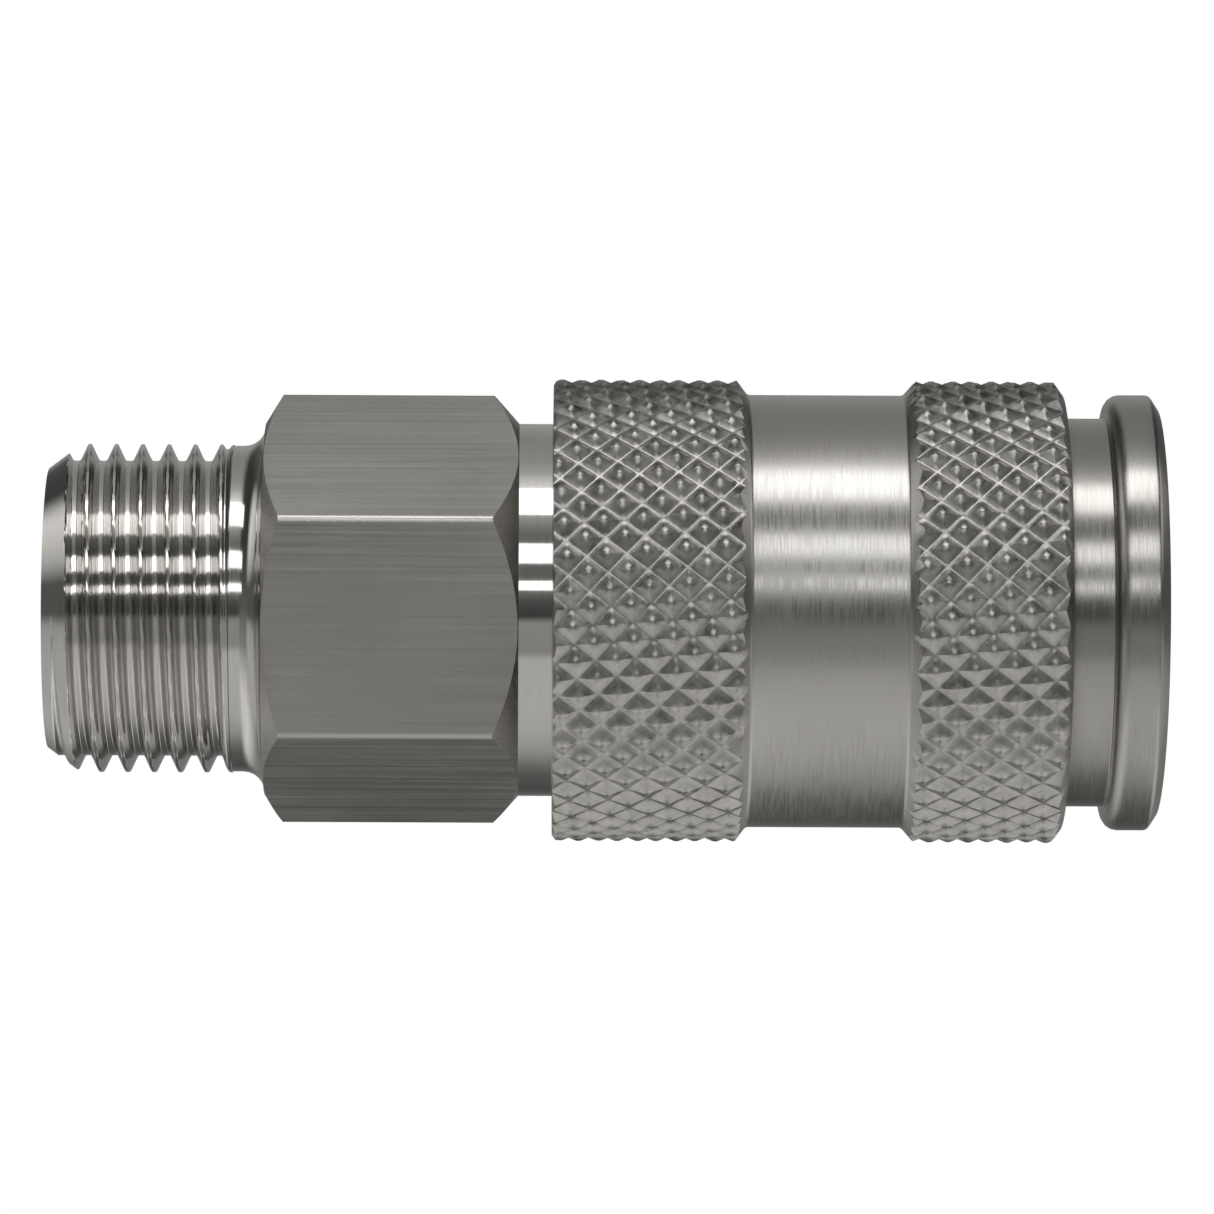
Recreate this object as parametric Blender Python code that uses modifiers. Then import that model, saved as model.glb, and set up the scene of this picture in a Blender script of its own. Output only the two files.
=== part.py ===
"""Pneumatic quick disconnect coupler with a male pipe thread and a knurled release sleeve.

The coupler's axis is the X axis. The end face of the male thread is at X = 0 and the
face that the plug enters is at the +X end. Two of the hexagon's flats face -Y and +Y.
Everything is in metres, with +Z up.
"""

import math

import bmesh
import bpy
from mathutils import Matrix

mm = 0.001

# Driving dimensions, stations along X measured from the thread's end face.
COUPLER_LENGTH = 56.2 * mm
HEX_ACROSS_FLATS = 19.0 * mm
HEX_REAR = 11.0 * mm
HEX_FRONT = 23.85 * mm
ADAPTER_FRONT = 34.0 * mm
SLEEVE_REAR = 25.57 * mm
SLEEVE_FRONT = 51.45 * mm
FLANGE_REAR = 53.5 * mm

# Male thread, G 3/8: 55 degree flanks, parallel.
THREAD_PITCH = 1.337 * mm
THREAD_CREST_R = 8.33 * mm
THREAD_ROOT_R = 7.475 * mm
THREAD_CREST_FLAT = 0.22 * mm
THREAD_HALF_ANGLE = math.radians(27.5)
THREAD_TIP_R = 7.1 * mm
THREAD_TIP_CHAMFER = 1.64 * mm
THREAD_END = 9.0 * mm
THREAD_NECK_R = 8.27 * mm
THREAD_NECK = 9.9 * mm

# Hexagon adapter.
HEX_FACE_R = 9.45 * mm
HEX_REAR_CHAMFER = math.radians(31.5)
HEX_FRONT_CHAMFER = math.radians(41.5)
HEX_BLANK_R = 11.3 * mm
NECK_R = 9.45 * mm
FLOW_BORE_R = 5.6 * mm
CHAMBER_R = 7.15 * mm
CHAMBER_REAR = 16.2 * mm
JOINT_BORE_R = 8.0 * mm
JOINT_BORE_REAR = 26.0 * mm

# Locking body.
JOINT_TUBE_R = 7.9 * mm
JOINT_TUBE_REAR = 27.2 * mm
BARREL_R = 8.2 * mm
BARREL_REAR = 34.1 * mm
NOSE_R = 9.86 * mm
NOSE_STEP = 47.6 * mm
FLANGE_R = 11.06 * mm
FLANGE_CORNER = 0.75 * mm
FLANGE_RIM_R = 10.35 * mm
FLANGE_RIM_DEPTH = 0.46 * mm
SOCKET_R = 6.1 * mm
SOCKET_MOUTH_R = 7.0 * mm
SOCKET_BOTTOM = 40.5 * mm
PILOT_R = 5.15 * mm
PILOT_FRONT = 39.6 * mm
SEAL_GROOVE_R = 6.95 * mm
SEAL_GROOVE_REAR = 36.2 * mm
SEAL_GROOVE_FRONT = 38.3 * mm
SEAT_FRONT = 34.95 * mm

# Release sleeve.
KNURL_R = 11.72 * mm
REAR_BAND_FRONT = 34.8 * mm
GRIP_R = 10.98 * mm
GRIP_REAR = 35.4 * mm
GRIP_FRONT = 43.3 * mm
FRONT_BAND_REAR = 44.0 * mm
FRONT_BAND_FRONT = 50.85 * mm
FRONT_EDGE_DROP = 0.65 * mm
REAR_EDGE_DROP = 0.3 * mm
REAR_EDGE_DEPTH = 0.22 * mm
SPRING_BORE_R = 9.6 * mm
LAND_R = 8.45 * mm
LAND_REAR = 43.6 * mm
LAND_FRONT = 45.3 * mm
RAMP_SLOPE = 0.55
RECESS_R = 9.45 * mm
SLEEVE_STOP = 47.4 * mm
SLEEVE_BORE_R = 9.92 * mm

# Locking balls.
BALL_COUNT = 8
BALL_R = 1.5 * mm
BALL_STATION = 45.5 * mm
BALL_CENTRE_R = 6.8 * mm
BALL_HOLE_R = 1.6 * mm
BALL_HOLE_TIP_R = 1.25 * mm
BALL_TAPER_INNER = 5.5 * mm
BALL_TAPER_OUTER = 6.9 * mm
BALL_FIRST_ANGLE = math.radians(22.5)

# Valve.
HEAD_R = 6.2 * mm
HEAD_REAR = 31.7 * mm
HEAD_FRONT = 32.6 * mm
HEAD_HUB_R = 2.6 * mm
HEAD_HUB_REAR = 30.5 * mm
SPIGOT_R = 4.7 * mm
SPIGOT_FRONT = 34.2 * mm
CROWN_SEAT_R = 3.3 * mm
CROWN_SEAT_FRONT = 34.9 * mm
CROWN_INNER_R = 3.4 * mm
CROWN_OUTER_R = 4.95 * mm
CROWN_REAR = 34.3 * mm
CROWN_FRONT = 35.9 * mm
CROWN_SLOT_WIDTH = 2.0 * mm
CROWN_SLOT_DEPTH = 1.0 * mm
STEM_R = 1.5 * mm
STEM_REAR = 13.0 * mm
STEM_FRONT = 34.6 * mm
STEM_TIP = 0.4 * mm
STEM_BORE_R = 1.6 * mm

# Valve guide: a rim, a hub and three spokes.
GUIDE_RIM_R = 7.05 * mm
GUIDE_RIM_BORE_R = 5.0 * mm
GUIDE_RIM_REAR = 16.3 * mm
GUIDE_FRONT = 17.5 * mm
GUIDE_HUB_R = 2.6 * mm
GUIDE_HUB_REAR = 14.5 * mm
GUIDE_SPOKES = 3
GUIDE_SPOKE_WIDTH = 1.4 * mm
GUIDE_SPOKE_THICKNESS = 1.0 * mm

# Rings: station, mean radius and section radius.
PLUG_SEAL = (37.25 * mm, 5.95 * mm, 0.95 * mm)
VALVE_SEAL = (33.45 * mm, 5.55 * mm, 0.72 * mm)
BODY_SEAL_REAR = 26.1 * mm
BODY_SEAL_FRONT = 27.1 * mm
BODY_SEAL_INNER_R = 7.25 * mm
BODY_SEAL_OUTER_R = 7.9 * mm

# Springs: wire radius, mean radius, turns in all, and the gap left at each seat.
SLEEVE_SPRING = (0.45 * mm, 8.95 * mm, 5.0)
VALVE_SPRING = (0.4 * mm, 5.4 * mm, 7.5)
SPRING_SEAT_GAP = 0.1 * mm
CLOSED_COIL_PITCH = 1.1

TURN_STEPS = 36
PIN_STEPS = 16
SPRING_POINTS_PER_TURN = 14

ALONG_X = (0.0, math.pi / 2, 0.0)
HEX_CORNER_R = HEX_ACROSS_FLATS / math.sqrt(3)


def clear_scene():
    for ob in list(bpy.data.objects):
        bpy.data.objects.remove(ob)


def new_collection(name):
    collection = bpy.data.collections.new(name)
    bpy.context.scene.collection.children.link(collection)
    return collection


def new_material(name, colour, roughness, metallic):
    material = bpy.data.materials.new(name)
    material.use_nodes = True
    shader = material.node_tree.nodes["Principled BSDF"]
    shader.inputs["Base Color"].default_value = (*colour, 1.0)
    shader.inputs["Roughness"].default_value = roughness
    shader.inputs["Metallic"].default_value = metallic
    return material


def finish_part(ob, collection, material):
    """Puts a piece in its collection and gives it its material."""
    collection.objects.link(ob)
    ob.data.materials.append(material)
    return ob


def finish_cutter(ob, collection):
    collection.objects.link(ob)
    ob.hide_render = True
    ob.display_type = "WIRE"
    return ob


def object_from_bmesh(name, bm):
    mesh = bpy.data.meshes.new(name)
    bm.to_mesh(mesh)
    bm.free()
    mesh.shade_smooth()
    mesh.set_sharp_from_angle(angle=math.radians(30))
    return bpy.data.objects.new(name, mesh)


def turned(name, profile, steps=TURN_STEPS, closed=True):
    """Turns (station, radius) points about X. They run down the outer side from front to rear."""
    mesh = bpy.data.meshes.new(name)
    points = [(radius, 0.0, station) for station, radius in profile]
    edges = [(i, i + 1) for i in range(len(points) - 1)]
    if closed:
        edges.append((len(points) - 1, 0))
    mesh.from_pydata(points, edges, [])
    ob = bpy.data.objects.new(name, mesh)
    ob.rotation_euler = ALONG_X
    screw = ob.modifiers.new("turn", "SCREW")
    screw.axis = "Z"
    screw.steps = steps
    screw.render_steps = steps
    screw.use_merge_vertices = True
    screw.merge_threshold = 1e-7
    screw.use_smooth_shade = True
    return ob


def boolean(ob, tool, operation):
    modifier = ob.modifiers.new(tool.name, "BOOLEAN")
    modifier.operation = operation
    modifier.object = tool
    modifier.solver = "EXACT"


def arc(station, radius, size, start, end, steps):
    """Points of a round corner about (station, radius), angles in degrees from +X."""
    angles = [math.radians(start + (end - start) * i / steps) for i in range(steps + 1)]
    return [(station + size * math.cos(a), radius + size * math.sin(a)) for a in angles]


def hexagon_bar(name):
    bm = bmesh.new()
    bmesh.ops.create_cone(
        bm,
        cap_ends=True,
        segments=6,
        radius1=HEX_CORNER_R,
        radius2=HEX_CORNER_R,
        depth=2 * COUPLER_LENGTH,
        matrix=Matrix.Rotation(math.radians(30), 4, "Z"),
    )
    ob = object_from_bmesh(name, bm)
    ob.rotation_euler = ALONG_X
    return ob


def thread_cutter(name):
    """A 55 degree groove section swept along a right-hand helix from behind the end face."""
    overshoot = 0.1 * mm
    root_half = THREAD_CREST_FLAT / 2
    top_r = THREAD_CREST_R + overshoot
    top_half = root_half + (top_r - THREAD_ROOT_R) * math.tan(THREAD_HALF_ANGLE)
    turns = math.ceil(THREAD_END / THREAD_PITCH)
    start = THREAD_END - turns * THREAD_PITCH - THREAD_PITCH / 2
    section = [
        (THREAD_ROOT_R, start - root_half),
        (THREAD_ROOT_R, start + root_half),
        (top_r, start + top_half),
        (top_r, start - top_half),
    ]
    bm = bmesh.new()
    corners = [bm.verts.new((radius, 0.0, station)) for radius, station in section]
    face = bm.faces.new(corners)
    bmesh.ops.spin(
        bm,
        geom=[face, *face.edges, *face.verts],
        cent=(0.0, 0.0, 0.0),
        axis=(0.0, 0.0, 1.0),
        dvec=(0.0, 0.0, THREAD_PITCH / TURN_STEPS),
        angle=2 * math.pi * turns,
        steps=TURN_STEPS * turns,
        use_duplicate=False,
    )
    bmesh.ops.recalc_face_normals(bm, faces=bm.faces)
    ob = object_from_bmesh(name, bm)
    ob.rotation_euler = ALONG_X
    return ob


def hex_adapter(cutters):
    """Male thread, hexagon and neck in one piece, bored for the valve and the locking body."""
    chamfer_height = HEX_BLANK_R - HEX_FACE_R
    rear_chamfer = chamfer_height * math.tan(HEX_REAR_CHAMFER)
    front_chamfer = chamfer_height * math.tan(HEX_FRONT_CHAMFER)
    fillet = HEX_REAR - THREAD_NECK
    ob = turned(
        "hex_adapter",
        [
            (ADAPTER_FRONT, NECK_R),
            (HEX_FRONT, NECK_R),
            (HEX_FRONT - front_chamfer, HEX_BLANK_R),
            (HEX_REAR + rear_chamfer, HEX_BLANK_R),
            (HEX_REAR, HEX_FACE_R),
            *arc(THREAD_NECK, THREAD_NECK_R + fillet, fillet, 0, -90, 3),
            (THREAD_END + THREAD_PITCH / 3, THREAD_NECK_R),
            (THREAD_END + THREAD_PITCH / 4, THREAD_CREST_R),
            (THREAD_TIP_CHAMFER, THREAD_CREST_R),
            (0.0, THREAD_TIP_R),
            (0.0, FLOW_BORE_R),
            (CHAMBER_REAR, FLOW_BORE_R),
            (CHAMBER_REAR, CHAMBER_R),
            (JOINT_BORE_REAR, CHAMBER_R),
            (JOINT_BORE_REAR, JOINT_BORE_R),
            (ADAPTER_FRONT, JOINT_BORE_R),
        ],
    )
    boolean(ob, finish_cutter(hexagon_bar("hexagon_bar"), cutters), "INTERSECT")
    boolean(ob, finish_cutter(thread_cutter("thread_groove"), cutters), "DIFFERENCE")
    return ob


def ball_angle(index):
    return BALL_FIRST_ANGLE + index * 2 * math.pi / BALL_COUNT


def ball_place(index, radius):
    angle = ball_angle(index)
    return (BALL_STATION, radius * math.cos(angle), radius * math.sin(angle))


def ball_drill(index):
    """A radial drill whose tapered tip leaves a seat that the ball can't fall through."""
    ob = turned(
        f"ball_drill_{index + 1}",
        [
            (BARREL_R + BALL_R, 0.0),
            (BARREL_R + BALL_R, BALL_HOLE_R),
            (BALL_TAPER_OUTER, BALL_HOLE_R),
            (BALL_TAPER_INNER, BALL_HOLE_TIP_R),
            (BALL_TAPER_INNER, 0.0),
        ],
        steps=PIN_STEPS,
        closed=False,
    )
    ob.rotation_euler = (ball_angle(index) - math.pi / 2, 0.0, 0.0)
    ob.location = (BALL_STATION, 0.0, 0.0)
    return ob


def locking_body(cutters):
    """Barrel, nose and flange in one piece, with the plug socket, the valve seat and the ball seats."""
    cone_height = CHAMBER_R - PILOT_R
    mouth = SOCKET_MOUTH_R - SOCKET_R
    ob = turned(
        "locking_body",
        [
            (COUPLER_LENGTH, FLANGE_RIM_R),
            (COUPLER_LENGTH - FLANGE_RIM_DEPTH, FLANGE_R),
            *arc(FLANGE_REAR + FLANGE_CORNER, FLANGE_R - FLANGE_CORNER, FLANGE_CORNER, 90, 180, 3),
            (FLANGE_REAR, NOSE_R),
            (NOSE_STEP, NOSE_R),
            (NOSE_STEP, BARREL_R),
            (BARREL_REAR, BARREL_R),
            (BARREL_REAR, JOINT_TUBE_R),
            (JOINT_TUBE_REAR, JOINT_TUBE_R),
            (JOINT_TUBE_REAR, CHAMBER_R),
            (SEAT_FRONT - cone_height, CHAMBER_R),
            (SEAT_FRONT, PILOT_R),
            (SEAL_GROOVE_REAR, PILOT_R),
            (SEAL_GROOVE_REAR, SEAL_GROOVE_R),
            (SEAL_GROOVE_FRONT, SEAL_GROOVE_R),
            (SEAL_GROOVE_FRONT, PILOT_R),
            (PILOT_FRONT, PILOT_R),
            (SOCKET_BOTTOM, SOCKET_R),
            (COUPLER_LENGTH - mouth, SOCKET_R),
            (COUPLER_LENGTH, SOCKET_MOUTH_R),
        ],
    )
    for index in range(BALL_COUNT):
        boolean(ob, finish_cutter(ball_drill(index), cutters), "DIFFERENCE")
    return ob


def release_sleeve():
    """Two gripping bands round a plain one, with the land that holds the balls in."""
    ramp_front = LAND_FRONT + (RECESS_R - LAND_R) / RAMP_SLOPE
    return turned(
        "release_sleeve",
        [
            (SLEEVE_FRONT, KNURL_R - FRONT_EDGE_DROP),
            (FRONT_BAND_FRONT, KNURL_R),
            (FRONT_BAND_REAR, KNURL_R),
            (GRIP_FRONT, GRIP_R),
            (GRIP_REAR, GRIP_R),
            (REAR_BAND_FRONT, KNURL_R),
            (SLEEVE_REAR + REAR_EDGE_DEPTH, KNURL_R),
            (SLEEVE_REAR, KNURL_R - REAR_EDGE_DROP),
            (SLEEVE_REAR, SPRING_BORE_R),
            (LAND_REAR, SPRING_BORE_R),
            (LAND_REAR, LAND_R),
            (LAND_FRONT, LAND_R),
            (ramp_front, RECESS_R),
            (SLEEVE_STOP, RECESS_R),
            (SLEEVE_STOP, SLEEVE_BORE_R),
            (SLEEVE_FRONT, SLEEVE_BORE_R),
        ],
    )


def locking_ball(index):
    bm = bmesh.new()
    bmesh.ops.create_uvsphere(bm, u_segments=14, v_segments=8, radius=BALL_R)
    ob = object_from_bmesh(f"locking_ball_{index + 1}", bm)
    ob.location = ball_place(index, BALL_CENTRE_R)
    return ob


def seal_ring(name, station, mean_r, section_r):
    """A round-section ring, turned from a circle."""
    section = arc(station, mean_r, section_r, 0, 360, 10)[:-1]
    return turned(name, section)


def body_seal():
    return turned(
        "body_seal",
        [
            (BODY_SEAL_FRONT, BODY_SEAL_OUTER_R),
            (BODY_SEAL_REAR, BODY_SEAL_OUTER_R),
            (BODY_SEAL_REAR, BODY_SEAL_INNER_R),
            (BODY_SEAL_FRONT, BODY_SEAL_INNER_R),
        ],
    )


def valve_head():
    return turned(
        "valve_head",
        [
            (CROWN_SEAT_FRONT, CROWN_SEAT_R),
            (SPIGOT_FRONT, CROWN_SEAT_R),
            (SPIGOT_FRONT, SPIGOT_R),
            (HEAD_FRONT, SPIGOT_R),
            (HEAD_FRONT, HEAD_R),
            (HEAD_REAR, HEAD_R),
            (HEAD_REAR, HEAD_HUB_R),
            (HEAD_HUB_REAR, HEAD_HUB_R),
            (HEAD_HUB_REAR, STEM_BORE_R),
            (CROWN_SEAT_FRONT, STEM_BORE_R),
        ],
    )


def valve_crown(cutters):
    """A slotted ring that the plug pushes, open at the sides so that air passes."""
    ob = turned(
        "valve_crown",
        [
            (CROWN_FRONT, CROWN_OUTER_R),
            (CROWN_REAR, CROWN_OUTER_R),
            (CROWN_REAR, CROWN_INNER_R),
            (CROWN_FRONT, CROWN_INNER_R),
        ],
    )
    for number, turn in enumerate((0.0, math.pi / 2), start=1):
        bm = bmesh.new()
        bmesh.ops.create_cube(bm, size=1.0)
        bmesh.ops.scale(bm, vec=(2 * CROWN_SLOT_DEPTH, 4 * CROWN_OUTER_R, CROWN_SLOT_WIDTH), verts=bm.verts)
        slot = object_from_bmesh(f"crown_slot_{number}", bm)
        slot.location = (CROWN_FRONT, 0.0, 0.0)
        slot.rotation_euler = (turn, 0.0, 0.0)
        boolean(ob, finish_cutter(slot, cutters), "DIFFERENCE")
    return ob


def valve_stem():
    return turned(
        "valve_stem",
        [
            (STEM_FRONT, 0.0),
            (STEM_FRONT, STEM_R),
            (STEM_REAR + STEM_TIP, STEM_R),
            (STEM_REAR, STEM_R - STEM_TIP),
            (STEM_REAR, 0.0),
        ],
        closed=False,
    )


def valve_guide(cutters):
    """A rim held against the chamber's step, with a bored hub on three spokes."""
    ob = turned(
        "valve_guide",
        [
            (GUIDE_FRONT, GUIDE_RIM_R),
            (GUIDE_RIM_REAR, GUIDE_RIM_R),
            (GUIDE_RIM_REAR, GUIDE_RIM_BORE_R),
            (GUIDE_FRONT, GUIDE_RIM_BORE_R),
        ],
    )
    hub = turned(
        "guide_hub",
        [
            (GUIDE_FRONT, GUIDE_HUB_R),
            (GUIDE_HUB_REAR, GUIDE_HUB_R),
            (GUIDE_HUB_REAR, STEM_BORE_R),
            (GUIDE_FRONT, STEM_BORE_R),
        ],
    )
    spoke_inner = (STEM_BORE_R + GUIDE_HUB_R) / 2
    spoke_outer = (GUIDE_RIM_BORE_R + GUIDE_RIM_R) / 2
    for index in range(GUIDE_SPOKES):
        bm = bmesh.new()
        bmesh.ops.create_cube(bm, size=1.0)
        size = (GUIDE_SPOKE_THICKNESS, GUIDE_SPOKE_WIDTH, spoke_outer - spoke_inner)
        bmesh.ops.scale(bm, vec=size, verts=bm.verts)
        middle = (0.0, 0.0, (spoke_inner + spoke_outer) / 2)
        bmesh.ops.translate(bm, vec=middle, verts=bm.verts)
        spoke = object_from_bmesh(f"guide_spoke_{index + 1}", bm)
        spoke.location = ((GUIDE_RIM_REAR + GUIDE_FRONT) / 2, 0.0, 0.0)
        spoke.rotation_euler = (index * 2 * math.pi / GUIDE_SPOKES, 0.0, 0.0)
        boolean(hub, finish_cutter(spoke, cutters), "UNION")
    boolean(ob, finish_cutter(hub, cutters), "UNION")
    return ob


def coil_spring(name, wire_r, mean_r, turns, rear, front):
    """A wire coil between two seats, with its first and last turns closed."""
    first = rear + SPRING_SEAT_GAP + wire_r
    last = front - SPRING_SEAT_GAP - wire_r
    closed_pitch = CLOSED_COIL_PITCH * 2 * wire_r
    open_pitch = (last - first - 2 * closed_pitch) / (turns - 2)
    count = round(turns * SPRING_POINTS_PER_TURN)
    curve = bpy.data.curves.new(name, "CURVE")
    curve.dimensions = "3D"
    curve.bevel_depth = wire_r
    curve.bevel_resolution = 2
    curve.use_fill_caps = True
    spline = curve.splines.new("POLY")
    spline.points.add(count)
    for i, point in enumerate(spline.points):
        turn = turns * i / count
        closed_rear = min(turn, 1.0)
        closed_front = max(turn - (turns - 1), 0.0)
        opened = turn - closed_rear - closed_front
        station = first + closed_pitch * (closed_rear + closed_front) + open_pitch * opened
        angle = 2 * math.pi * turn
        point.co = (station, mean_r * math.cos(angle), mean_r * math.sin(angle), 1.0)
    return bpy.data.objects.new(name, curve)


def build():
    clear_scene()
    parts = new_collection("quick_disconnect_coupler")
    cutters = new_collection("cutters")
    stainless = new_material("stainless", (0.58, 0.56, 0.53), 0.28, 1.0)
    sleeve_steel = new_material("sleeve_stainless", (0.62, 0.60, 0.57), 0.38, 1.0)
    spring_steel = new_material("spring_steel", (0.50, 0.49, 0.47), 0.30, 1.0)
    ball_steel = new_material("ball_steel", (0.75, 0.75, 0.75), 0.10, 1.0)
    rubber = new_material("seal_rubber", (0.02, 0.02, 0.02), 0.60, 0.0)
    fibre = new_material("seal_ptfe", (0.80, 0.79, 0.76), 0.55, 0.0)

    finish_part(hex_adapter(cutters), parts, stainless)
    finish_part(locking_body(cutters), parts, stainless)
    finish_part(release_sleeve(), parts, sleeve_steel)
    finish_part(coil_spring("sleeve_spring", *SLEEVE_SPRING, ADAPTER_FRONT, LAND_REAR), parts, spring_steel)
    for index in range(BALL_COUNT):
        finish_part(locking_ball(index), parts, ball_steel)
    finish_part(seal_ring("plug_seal", *PLUG_SEAL), parts, rubber)
    finish_part(seal_ring("valve_seal", *VALVE_SEAL), parts, rubber)
    finish_part(body_seal(), parts, fibre)
    finish_part(valve_head(), parts, stainless)
    finish_part(valve_crown(cutters), parts, stainless)
    finish_part(valve_stem(), parts, stainless)
    finish_part(valve_guide(cutters), parts, stainless)
    finish_part(coil_spring("valve_spring", *VALVE_SPRING, GUIDE_FRONT, HEAD_REAR), parts, spring_steel)


build()
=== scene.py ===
"""Looks of the quick disconnect coupler: every metal, rubber and spring piece is rebuilt finely
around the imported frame, in the coupler's own axes, with procedural steel and rubber materials."""

import math

import bmesh
import bpy
import numpy as np
from mathutils import Matrix, Vector


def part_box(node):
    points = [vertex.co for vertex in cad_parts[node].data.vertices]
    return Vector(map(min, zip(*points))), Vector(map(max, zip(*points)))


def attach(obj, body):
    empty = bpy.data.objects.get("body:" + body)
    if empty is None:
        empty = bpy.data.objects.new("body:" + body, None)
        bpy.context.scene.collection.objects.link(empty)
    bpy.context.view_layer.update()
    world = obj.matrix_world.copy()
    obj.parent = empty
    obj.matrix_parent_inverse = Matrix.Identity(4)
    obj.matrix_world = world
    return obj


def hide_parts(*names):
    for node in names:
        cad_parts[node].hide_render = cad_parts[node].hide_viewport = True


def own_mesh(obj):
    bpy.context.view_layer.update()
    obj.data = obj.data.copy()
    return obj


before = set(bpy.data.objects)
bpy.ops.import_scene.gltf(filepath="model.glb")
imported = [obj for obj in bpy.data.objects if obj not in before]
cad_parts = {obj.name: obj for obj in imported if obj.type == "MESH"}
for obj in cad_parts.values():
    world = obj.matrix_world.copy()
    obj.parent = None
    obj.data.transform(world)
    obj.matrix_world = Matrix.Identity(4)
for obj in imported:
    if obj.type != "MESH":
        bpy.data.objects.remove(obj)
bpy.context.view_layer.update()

mm = 0.001

# ---------------------------------------------------------------------------
# Stations and radii. Lengths that the frame holds are read from its boxes.
# ---------------------------------------------------------------------------


def span(node):
    """(rear station, front station, outer radius) of a CAD node on the coupler's axis."""
    low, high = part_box(node)
    return low.x, high.x, max(-low.y, high.y, -low.z, high.z)


ADAPTER_FRONT = span("hex_adapter")[1]
BODY_REAR, NOSE_FACE, FLANGE_R = span("locking_body")
SLEEVE_REAR, SLEEVE_FRONT, KNURL_R = span("release_sleeve")
SLEEVE_SPRING_REAR, SLEEVE_SPRING_FRONT, SLEEVE_SPRING_R = span("sleeve_spring")
VALVE_SPRING_REAR, VALVE_SPRING_FRONT, VALVE_SPRING_R = span("valve_spring")
HEAD_REAR, HEAD_FRONT, HEAD_R = span("valve_head")
CROWN_REAR, CROWN_FRONT, CROWN_R = span("valve_crown")
STEM_REAR, STEM_FRONT, STEM_R = span("valve_stem")
GUIDE_REAR, GUIDE_FRONT, GUIDE_R = span("valve_guide")
GASKET_REAR, GASKET_FRONT, GASKET_R = span("body_seal")

THREAD_PITCH = 1.337 * mm
THREAD_CREST_R = 8.33 * mm
THREAD_DEPTH = 0.856 * mm
THREAD_FLANK = math.radians(25)
THREAD_CREST = 0.16 * mm
THREAD_ROUNDING = 0.09 * mm
THREAD_TIP_R = 7.1 * mm
THREAD_TIP_CHAMFER = 1.64 * mm
THREAD_RUNOUT = 8.75 * mm
THREAD_END = 9.35 * mm
THREAD_NECK_R = 8.27 * mm
THREAD_NECK = 9.9 * mm
FIRST_CREST = 2.05 * mm

HEX_ACROSS_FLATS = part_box("hex_adapter")[1].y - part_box("hex_adapter")[0].y
HEX_REAR = 11.0 * mm
HEX_FRONT = 23.85 * mm
HEX_FACE_R = 9.45 * mm
HEX_REAR_CHAMFER = math.radians(31.5)
HEX_FRONT_CHAMFER = math.radians(41.5)
HEX_BLANK_R = 11.3 * mm
HEX_EDGE_R = 0.42 * mm
HEX_BAR_OVERHANG = 5 * mm
NECK_R = 9.45 * mm
FLOW_BORE_R = 5.6 * mm
CHAMBER_R = 7.15 * mm
CHAMBER_REAR = 16.2 * mm
JOINT_BORE_R = 8.0 * mm
JOINT_BORE_REAR = 26.0 * mm

JOINT_TUBE_R = 7.9 * mm
BARREL_R = 8.2 * mm
BARREL_REAR = 34.1 * mm
NOSE_R = 9.86 * mm
NOSE_STEP = 47.6 * mm
FLANGE_REAR = 53.52 * mm
FLANGE_CORNER = 0.74 * mm
FLANGE_RIM_R = 10.35 * mm
FLANGE_RIM_DEPTH = 0.46 * mm
SOCKET_R = 6.1 * mm
SOCKET_MOUTH_R = 7.0 * mm
SOCKET_BOTTOM = 40.5 * mm
PILOT_R = 5.15 * mm
PILOT_FRONT = 39.6 * mm
SEAL_GROOVE_R = 6.95 * mm
SEAL_GROOVE_REAR = 36.2 * mm
SEAL_GROOVE_FRONT = 38.3 * mm
SEAT_FRONT = 34.95 * mm

REAR_BAND_FRONT = 34.8 * mm
GRIP_R = 10.98 * mm
GRIP_REAR = 35.4 * mm
GRIP_FRONT = 43.3 * mm
FRONT_BAND_REAR = 44.0 * mm
FRONT_EDGE_LEAN = 0.08 * mm
FRONT_EDGE_DROP = 0.65 * mm
FRONT_EDGE_DEPTH = 0.60 * mm
REAR_EDGE_DROP = 0.30 * mm
REAR_EDGE_DEPTH = 0.22 * mm
SLEEVE_NOSE_R = 10.3 * mm
SPRING_BORE_R = 9.6 * mm
LAND_R = 8.45 * mm
LAND_REAR = 43.6 * mm
LAND_FRONT = 45.3 * mm
RAMP_SLOPE = 0.55
RECESS_R = 9.45 * mm
SLEEVE_STOP = 47.4 * mm
SLEEVE_BORE_R = 9.92 * mm

# Diamond knurling: two crossing sets of pressed grooves, each with its own number of grooves round
# the sleeve and its own angle to the axis. What stands between them are pointed diamonds. The steps
# are the mesh's lines from one groove to the next, as fractions of the way, and the foot is how high
# a slope starts at the groove's edge, as a fraction of the depth.
KNURL_STARTS = (44, 38)
KNURL_HELIX = (math.radians(37.8), math.radians(46.7))
KNURL_PHASE = (-0.04, 0.11)
KNURL_DEPTH = 0.33 * mm
KNURL_STEPS = (0.0, 0.045, 0.24, 0.45, 0.55, 0.76, 0.955)
KNURL_FOOT = 0.04
# How far the knurled bar's rim and its pointed ends reach beyond the sleeve.
KNURL_OVERHANG = 1.5 * mm
KNURL_TIP_OVERHANG = 2 * mm
# Edges where the knurling turns by more than this many degrees stay sharp.
KNURL_SHARP_ANGLE = 37

BALL_COUNT = 8
BALL_STATION = 45.5 * mm
BALL_HOLE_R = 1.6 * mm
BALL_HOLE_TIP_R = 1.25 * mm
BALL_TAPER_INNER = 5.5 * mm
BALL_TAPER_OUTER = 6.9 * mm

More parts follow.
